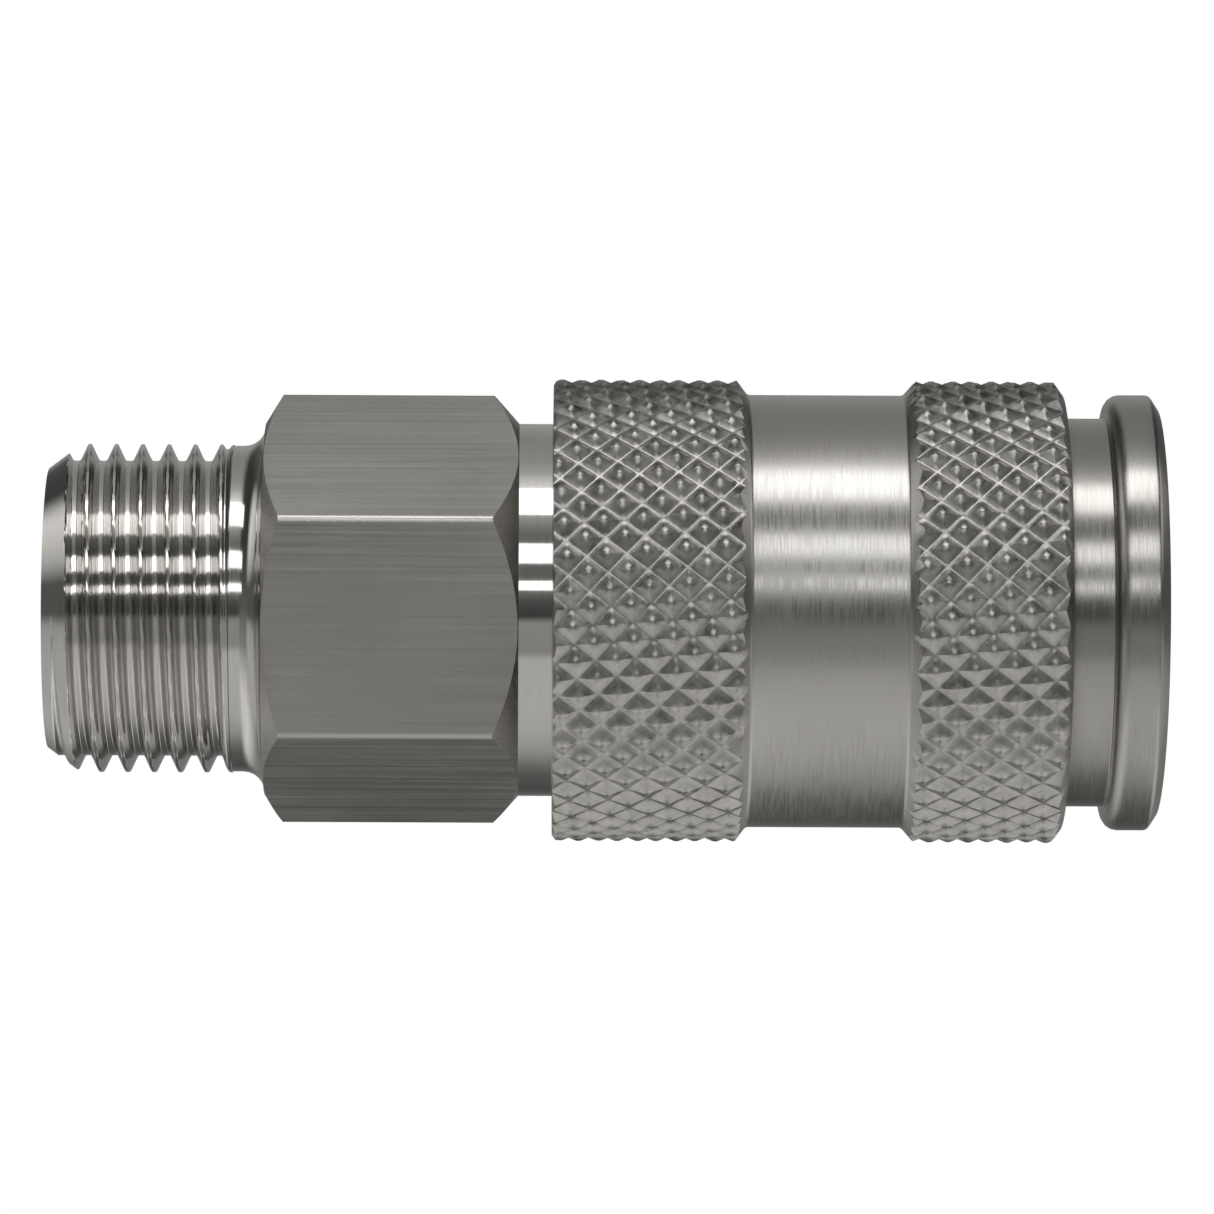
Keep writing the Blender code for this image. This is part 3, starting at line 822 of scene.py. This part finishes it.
def sleeve():
    """The release sleeve: a turned blank whose two raised bands are knurled."""
    # The blank stands a little above the knurled bar, which then forms all of both bands.
    over = 0.06 * mm
    ramp_front = LAND_FRONT + (RECESS_R - LAND_R) / RAMP_SLOPE
    blank = lathe(
        "sleeve_knurled",
        [
            (SLEEVE_FRONT, SLEEVE_NOSE_R, 0.1 * mm),
            (SLEEVE_FRONT - FRONT_EDGE_LEAN, KNURL_R - FRONT_EDGE_DROP, 0.15 * mm),
            (SLEEVE_FRONT - FRONT_EDGE_DEPTH, KNURL_R + over, 0.2 * mm),
            (FRONT_BAND_REAR, KNURL_R + over, 0.2 * mm),
            (GRIP_FRONT, GRIP_R, 0.3 * mm),
            (GRIP_REAR, GRIP_R, 0.3 * mm),
            (REAR_BAND_FRONT, KNURL_R + over, 0.2 * mm),
            (SLEEVE_REAR + REAR_EDGE_DEPTH, KNURL_R + over, 0.1 * mm),
            (SLEEVE_REAR, KNURL_R - REAR_EDGE_DROP, 0.08 * mm),
            (SLEEVE_REAR, SPRING_BORE_R, 0.2 * mm),
            (LAND_REAR, SPRING_BORE_R, 0.15 * mm),
            (LAND_REAR, LAND_R, 0.1 * mm),
            (LAND_FRONT, LAND_R, 0.1 * mm),
            (ramp_front, RECESS_R, 0.1 * mm),
            (SLEEVE_STOP, RECESS_R, 0.05 * mm),
            (SLEEVE_STOP, SLEEVE_BORE_R, 0.05 * mm),
            (SLEEVE_FRONT, SLEEVE_BORE_R, 0.1 * mm),
        ],
        columns=256,
    )
    bar = knurled_bar()
    finishes = (knurled, lighter_groove_steel, brushed, bored)
    for ob in (blank, bar):
        for material in finishes:
            ob.data.materials.append(material)
    set_finishes(blank, lambda x, r: np.where(r < SLEEVE_NOSE_R - 0.25 * mm, 3, 2))
    cut(blank, [bar], "INTERSECT", KNURL_SHARP_ANGLE)
    place_piece(blank, "sleeve", "stainless_sleeve", "release_sleeve")


def coil(name, wire_r, mean_r, turns, rear, front):
    """A spring: a wire coil with closed, flattened end turns, as a mesh that can be squashed."""
    around = 14
    per_turn = 40
    count = int(turns * per_turn)
    first = rear + wire_r
    last = front - wire_r
    closed_pitch = 2.2 * wire_r
    open_pitch = (last - first - 2 * closed_pitch) / (turns - 2)
    turn = np.linspace(0, turns, count + 1)
    closed_rear = np.minimum(turn, 1.0)
    closed_front = np.maximum(turn - (turns - 1), 0.0)
    open_turns = turn - closed_rear - closed_front
    station = first + closed_pitch * (closed_rear + closed_front) + open_pitch * open_turns
    angle = 2 * math.pi * turn
    centre = np.stack([station, mean_r * np.cos(angle), mean_r * np.sin(angle)], axis=-1)
    outward = np.stack([np.zeros_like(angle), np.cos(angle), np.sin(angle)], axis=-1)
    along = np.gradient(centre, axis=0)
    along /= np.linalg.norm(along, axis=1)[:, None]
    across = np.cross(along, outward)
    spin = np.arange(around) * 2 * math.pi / around
    ring = centre[:, None] + wire_r * (
        np.cos(spin)[None, :, None] * outward[:, None] + np.sin(spin)[None, :, None] * across[:, None]
    )
    points = ring.reshape(-1, 3).tolist()
    faces = []
    for i in range(count):
        for k in range(around):
            j = (k + 1) % around
            faces.append((i * around + k, i * around + j, (i + 1) * around + j, (i + 1) * around + k))
    faces.append(tuple(range(around - 1, -1, -1)))
    faces.append(tuple(count * around + k for k in range(around)))
    mesh = bpy.data.meshes.new(name)
    mesh.from_pydata(points, [], faces)
    ob = link(name, finish_mesh(mesh, 50))
    ob.data.materials.append(wire_steel)
    return ob


def springs():
    """The sleeve's spring on its carrier and the valve's spring on the housing."""
    sleeve_spring = coil(
        "sleeve_coil_spring",
        SLEEVE_SPRING_WIRE_R,
        SLEEVE_SPRING_R - SLEEVE_SPRING_WIRE_R,
        SLEEVE_SPRING_TURNS,
        SLEEVE_SPRING_REAR,
        SLEEVE_SPRING_FRONT,
    )
    place_piece(sleeve_spring, "spring_carrier", "spring_steel", "sleeve_spring")
    valve_spring = coil(
        "valve_coil_spring",
        VALVE_SPRING_WIRE_R,
        VALVE_SPRING_R - VALVE_SPRING_WIRE_R,
        VALVE_SPRING_TURNS,
        VALVE_SPRING_REAR,
        VALVE_SPRING_FRONT,
    )
    place_piece(valve_spring, "housing", "spring_steel", "valve_spring")
    squeeze(sleeve_spring)
    squeeze(valve_spring)


def squeeze(ob):
    """Gives the spring its own copy of its mesh."""
    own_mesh(ob)


def balls():
    """Ground steel balls: a cube's faces divided evenly and pushed out to the sphere."""
    for index in range(BALL_COUNT):
        node = f"locking_ball_{index + 1}"
        low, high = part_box(node)
        centre = (low + high) / 2
        radius = (high.y - low.y) / 2
        bm = bmesh.new()
        bmesh.ops.create_cube(bm, size=2.0)
        bmesh.ops.subdivide_edges(bm, edges=bm.edges, cuts=11, use_grid_fill=True)
        for v in bm.verts:
            v.co = Vector([math.tan(c * math.pi / 4) for c in v.co]).normalized() * radius + centre
        ob = link_bmesh(f"ground_ball_{index + 1}", bm)
        ob.data.shade_smooth()
        ob.data.materials.append(ball_steel)
        place_piece(ob, f"ball_{index + 1}", "ball_steel", node)


def o_ring(name, node, body):
    """A moulded ring with fine parting lines round its inner, outer and end sides."""
    line_height = 0.03
    line_sharpness = 24
    rear, front, outer = span(node)
    section_r = (front - rear) / 2
    mean_r = outer - section_r
    station = (rear + front) / 2
    points = 40
    section = []
    for k in range(points):
        a = 2 * math.pi * k / points
        line = line_height * abs(math.cos(2 * a)) ** line_sharpness
        size = section_r * (1 - line_height + line)
        section.append((station + size * math.cos(a), mean_r + size * math.sin(a)))
    ob = link(name, finish_mesh(ring_mesh(name, *section_grid(section, 160)), 60))
    ob.data.materials.append(seal_rubber)
    place_piece(ob, body, "seal_rubber", node)


def gasket():
    """The flat ring that seals the screw joint inside."""
    ob = lathe(
        "joint_gasket",
        [
            (GASKET_FRONT, GASKET_R, 0.12 * mm),
            (GASKET_REAR, GASKET_R, 0.12 * mm),
            (GASKET_REAR, GASKET_BORE_R, 0.12 * mm),
            (GASKET_FRONT, GASKET_BORE_R, 0.12 * mm),
        ],
    )
    ob.data.materials.append(seal_ptfe)
    place_piece(ob, "housing", "seal_ptfe", "body_seal")


def valve():
    """Head, slotted crown and stem, each its own piece on the valve's body."""
    head = lathe(
        "valve_disc",
        [
            (HEAD_FRONT, CROWN_SEAT_R, 0.08 * mm),
            (SPIGOT_FRONT, CROWN_SEAT_R, 0.04 * mm),
            (SPIGOT_FRONT, SPIGOT_R, 0.10 * mm),
            (HEAD_FLANGE_FRONT, SPIGOT_R, 0.10 * mm),
            (HEAD_FLANGE_FRONT, HEAD_R, 0.12 * mm),
            (HEAD_FLANGE_REAR, HEAD_R, 0.12 * mm),
            (HEAD_FLANGE_REAR, HEAD_HUB_R, 0.2 * mm),
            (HEAD_REAR, HEAD_HUB_R, 0.12 * mm),
            (HEAD_REAR, STEM_BORE_R, 0.08 * mm),
            (HEAD_FRONT, STEM_BORE_R, 0.08 * mm),
        ],
        columns=128,
    )
    head.data.materials.append(valve_steel)
    place_piece(head, "valve", "valve_steel", "valve_head")

    crown = lathe(
        "valve_slotted_crown",
        [
            (CROWN_FRONT, CROWN_R, 0.15 * mm),
            (CROWN_REAR, CROWN_R, 0.10 * mm),
            (CROWN_REAR, CROWN_INNER_R, 0.10 * mm),
            (CROWN_FRONT, CROWN_INNER_R, 0.15 * mm),
        ],
        columns=128,
    )
    slot_size = (2 * CROWN_SLOT_DEPTH, 4 * CROWN_R, CROWN_SLOT_WIDTH)
    slots = [block(f"slot_{k}", slot_size, (CROWN_FRONT, 0, 0), k * math.pi / 2) for k in range(2)]
    cut(crown, slots)
    crown.data.materials.append(valve_steel)
    place_piece(crown, "valve", "valve_steel", "valve_crown")

    # A turned section can't reach the axis, so the stem keeps a hole too fine to see.
    stem = lathe(
        "valve_guide_pin",
        [
            (STEM_FRONT, STEM_R, 0.15 * mm),
            (STEM_REAR + STEM_TIP, STEM_R, 0.1 * mm),
            (STEM_REAR, STEM_R - STEM_TIP, 0.1 * mm),
            (STEM_REAR, STEM_CORE_R, 0),
            (STEM_FRONT, STEM_CORE_R, 0),
        ],
        columns=64,
    )
    stem.data.materials.append(valve_steel)
    place_piece(stem, "valve", "valve_steel", "valve_stem")


def guide():
    """Rim, bored hub and three spokes, joined into one piece."""
    rim = lathe(
        "valve_spider",
        [
            (GUIDE_FRONT, GUIDE_R, 0.12 * mm),
            (GUIDE_RIM_REAR, GUIDE_R, 0.12 * mm),
            (GUIDE_RIM_REAR, GUIDE_RIM_BORE_R, 0.12 * mm),
            (GUIDE_FRONT, GUIDE_RIM_BORE_R, 0.12 * mm),
        ],
        columns=128,
    )
    hub = lathe(
        "spider_hub",
        [
            (GUIDE_FRONT, GUIDE_HUB_R, 0.15 * mm),
            (GUIDE_REAR, GUIDE_HUB_R, 0.2 * mm),
            (GUIDE_REAR, STEM_BORE_R, 0.1 * mm),
            (GUIDE_FRONT, STEM_BORE_R, 0.1 * mm),
        ],
        columns=96,
    )
    inner = (STEM_BORE_R + GUIDE_HUB_R) / 2
    outer = (GUIDE_RIM_BORE_R + GUIDE_R) / 2
    middle = ((GUIDE_RIM_REAR + GUIDE_FRONT) / 2, 0.0, (inner + outer) / 2)
    size = (GUIDE_SPOKE_THICKNESS, GUIDE_SPOKE_WIDTH, outer - inner)
    turns = [k * 2 * math.pi / GUIDE_SPOKES for k in range(GUIDE_SPOKES)]
    spokes = [block(f"spoke_{k}", size, middle, turn) for k, turn in enumerate(turns)]
    cut(hub, spokes, "UNION")
    cut(rim, [hub], "UNION")
    rim.data.materials.append(valve_steel)
    place_piece(rim, "housing", "valve_steel", "valve_guide")


# ---------------------------------------------------------------------------
# Stage, light and camera
# ---------------------------------------------------------------------------


FLOOR_SIZE = 4.0
FLOOR_HEIGHT = -60 * mm


def floor():
    """A plain white floor, well below the coupler. Only the camera sees it, and only from above."""
    half = FLOOR_SIZE / 2
    outline = ((-half, -half), (half, -half), (half, half), (-half, half))
    mesh = bpy.data.meshes.new("floor")
    mesh.from_pydata([(x, y, FLOOR_HEIGHT) for x, y in outline], [], [(0, 1, 2, 3)])
    ob = link("floor", mesh)
    material = bpy.data.materials.new("white_floor")
    material.use_nodes = True
    tree = material.node_tree
    tree.nodes.clear()
    output = tree.nodes.new("ShaderNodeOutputMaterial")
    white = tree.nodes.new("ShaderNodeEmission")
    white.inputs["Color"].default_value = (1.0, 1.0, 1.0, 1.0)
    clear = tree.nodes.new("ShaderNodeBsdfTransparent")
    mix = tree.nodes.new("ShaderNodeMixShader")
    geometry = tree.nodes.new("ShaderNodeNewGeometry")
    tree.links.new(geometry.outputs["Backfacing"], mix.inputs["Fac"])
    tree.links.new(white.outputs["Emission"], mix.inputs[1])
    tree.links.new(clear.outputs["BSDF"], mix.inputs[2])
    tree.links.new(mix.outputs["Shader"], output.inputs["Surface"])
    mesh.materials.append(material)
    ob.visible_glossy = False
    ob.visible_diffuse = False
    ob.visible_shadow = False
    ob.visible_transmission = False


# Grey of the studio straight round the coupler's axis, by the angle up from the camera's direction.
ROUND_GREYS = [
    (-180, 0.26),
    (-160, 0.13),
    (-147, 0.09),
    (-125, 0.13),
    (-112, 0.22),
    (-97, 0.44),
    (-80, 0.57),
    (-60, 0.61),
    (-31, 0.60),
    (-26, 0.34),
    (-8, 0.36),
    (-4, 0.06),
    (5, 0.10),
    (11, 0.20),
    (22, 0.16),
    (48, 0.20),
    (58, 0.40),
    (80, 1.10),
    (94, 0.52),
    (106, 0.38),
    (130, 0.32),
    (160, 0.38),
    (180, 0.26),
]
# Greys of the studio off to both sides and beyond both ends, by height: 0 is straight down and 1
# straight up.
SIDE_GREYS = [
    (0.0, 0.80),
    (0.08, 0.88),
    (0.18, 0.62),
    (0.30, 0.30),
    (0.44, 0.20),
    (0.50, 0.14),
    (0.70, 0.09),
    (0.85, 0.05),
    (1.0, 0.05),
]
END_GREYS = [
    (0.0, 0.50),
    (0.30, 0.55),
    (0.42, 0.45),
    (0.47, 0.12),
    (0.60, 0.12),
    (0.68, 0.60),
    (0.80, 1.00),
    (1.0, 0.85),
]
# How far off along the coupler's axis, 0 to 1, the sides and then the ends begin and are full.
SIDES_REACH = (0.13, 0.34)
ENDS_REACH = (0.64, 0.82)
# The warm tint of every grey.
STUDIO_TINT = (1.0, 0.99, 0.965)


def studio():
    """World light: white to the camera, and the studio's soft greys to everything else."""
    world = bpy.data.worlds.new("studio")
    bpy.context.scene.world = world
    world.use_nodes = True
    tree = world.node_tree
    tree.nodes.clear()

    def add(kind, **settings):
        return add_node(tree, kind, **settings)

    def maths(operation, first, second=0.0):
        return maths_node(tree, operation, first, second)

    def greys(source, stops):
        ramp = add("ShaderNodeValToRGB")
        elements = ramp.color_ramp.elements
        while len(elements) > 1:
            elements.remove(elements[0])
        for i, (place, grey) in enumerate(stops):
            element = elements[0] if i == 0 else elements.new(place)
            element.position = place
            element.color = (*(grey * part for part in STUDIO_TINT), 1.0)
        tree.links.new(source, ramp.inputs["Fac"])
        return ramp.outputs["Color"]

    direction = add("ShaderNodeVectorRotate", rotation_type="X_AXIS")
    direction.inputs["Angle"].default_value = CAMERA_ELEVATION
    tree.links.new(add("ShaderNodeTexCoord").outputs["Generated"], direction.inputs["Vector"])
    parts = add("ShaderNodeSeparateXYZ")
    tree.links.new(direction.outputs["Vector"], parts.inputs["Vector"])
    towards_camera = maths("MULTIPLY", parts.outputs["Y"], -1.0)
    angle = maths("ARCTAN2", parts.outputs["Z"], towards_camera)
    share = maths("ADD", maths("DIVIDE", angle, 2 * math.pi), 0.5)
    round_light = greys(share, [(degrees / 360 + 0.5, grey) for degrees, grey in ROUND_GREYS])
    height = maths("ADD", maths("MULTIPLY", parts.outputs["Z"], 0.5), 0.5)
    aside = maths("ABSOLUTE", parts.outputs["X"])

    def beyond(reach, near, far):
        """The near colour, which gives way to the far one as the direction turns towards the ends."""
        fade = add("ShaderNodeMapRange", interpolation_type="SMOOTHSTEP")
        fade.inputs["From Min"].default_value, fade.inputs["From Max"].default_value = reach
        tree.links.new(aside, fade.inputs["Value"])
        mix = add("ShaderNodeMix", data_type="RGBA")
        tree.links.new(fade.outputs["Result"], mix.inputs["Factor"])
        tree.links.new(near, mix.inputs["A"])
        tree.links.new(far, mix.inputs["B"])
        return mix.outputs["Result"]

    round_and_sides = beyond(SIDES_REACH, round_light, greys(height, SIDE_GREYS))
    grey = add("ShaderNodeBackground")
    tree.links.new(beyond(ENDS_REACH, round_and_sides, greys(height, END_GREYS)), grey.inputs["Color"])
    white = add("ShaderNodeBackground")
    white.inputs["Color"].default_value = (1.0, 1.0, 1.0, 1.0)
    chooser = add("ShaderNodeMixShader")
    tree.links.new(add("ShaderNodeLightPath").outputs["Is Camera Ray"], chooser.inputs["Fac"])
    tree.links.new(grey.outputs["Background"], chooser.inputs[1])
    tree.links.new(white.outputs["Background"], chooser.inputs[2])
    tree.links.new(chooser.outputs["Shader"], add("ShaderNodeOutputWorld").inputs["Surface"])


# Softboxes: name, lowest and highest angle above the camera's direction, and brightness.
SOFTBOXES = [
    ("overhead_softbox", 60.5, 80.0, 2.0),
    ("front_softbox", 28.5, 41.0, 2.1),
    ("thin_strip", 12.0, 17.5, 2.3),
]
SOFTBOX_DISTANCE = 0.5
SOFTBOX_LENGTH = 0.42


def softboxes():
    """Long soft lights along the coupler, seen by it and not by the camera."""
    for name, low, high, brightness in SOFTBOXES:
        angle = math.radians((low + high) / 2) + CAMERA_ELEVATION
        width = 2 * SOFTBOX_DISTANCE * math.tan(math.radians(high - low) / 2)
        data = bpy.data.lights.new(name, "AREA")
        data.shape = "RECTANGLE"
        data.size = SOFTBOX_LENGTH
        data.size_y = width
        data.energy = brightness * math.pi * SOFTBOX_LENGTH * width
        ob = link(name, data)
        place = Vector((0.0, -math.cos(angle), math.sin(angle))) * SOFTBOX_DISTANCE
        ob.location = place + Vector((AIM_STATION, 0.0, 0.0))
        ob.rotation_euler = (math.pi / 2 - angle, 0.0, 0.0)
        ob.visible_camera = False


def camera():
    """The photograph's camera: a long lens from a little above the coupler's axis."""
    data = bpy.data.cameras.new("camera")
    data.lens = LENS
    data.sensor_width = 36.0
    data.clip_start = 0.01
    data.clip_end = 10.0
    ob = link("camera", data)
    towards = Vector((0.0, -math.cos(CAMERA_ELEVATION), math.sin(CAMERA_ELEVATION)))
    up = Vector((0.0, math.sin(CAMERA_ELEVATION), math.cos(CAMERA_ELEVATION)))
    ob.location = Vector((CAMERA_STATION, 0.0, 0.0)) + towards * CAMERA_DISTANCE
    aim = Vector((AIM_STATION, 0.0, 0.0)) + up * AIM_HEIGHT
    look = (ob.location - aim).normalized()
    side = up.cross(look).normalized()
    upright = look.cross(side)
    turn = Matrix((side, upright, look)).transposed()
    ob.rotation_euler = (turn @ Matrix.Rotation(CAMERA_ROLL, 3, "Z")).to_euler()
    bpy.context.scene.camera = ob


adapter()
nose()
sleeve()
springs()
balls()
o_ring("plug_o_ring", "plug_seal", "housing")
o_ring("valve_o_ring", "valve_seal", "valve")
gasket()
valve()
guide()
floor()
studio()
softboxes()
camera()
bpy.context.scene.view_settings.view_transform = "Standard"
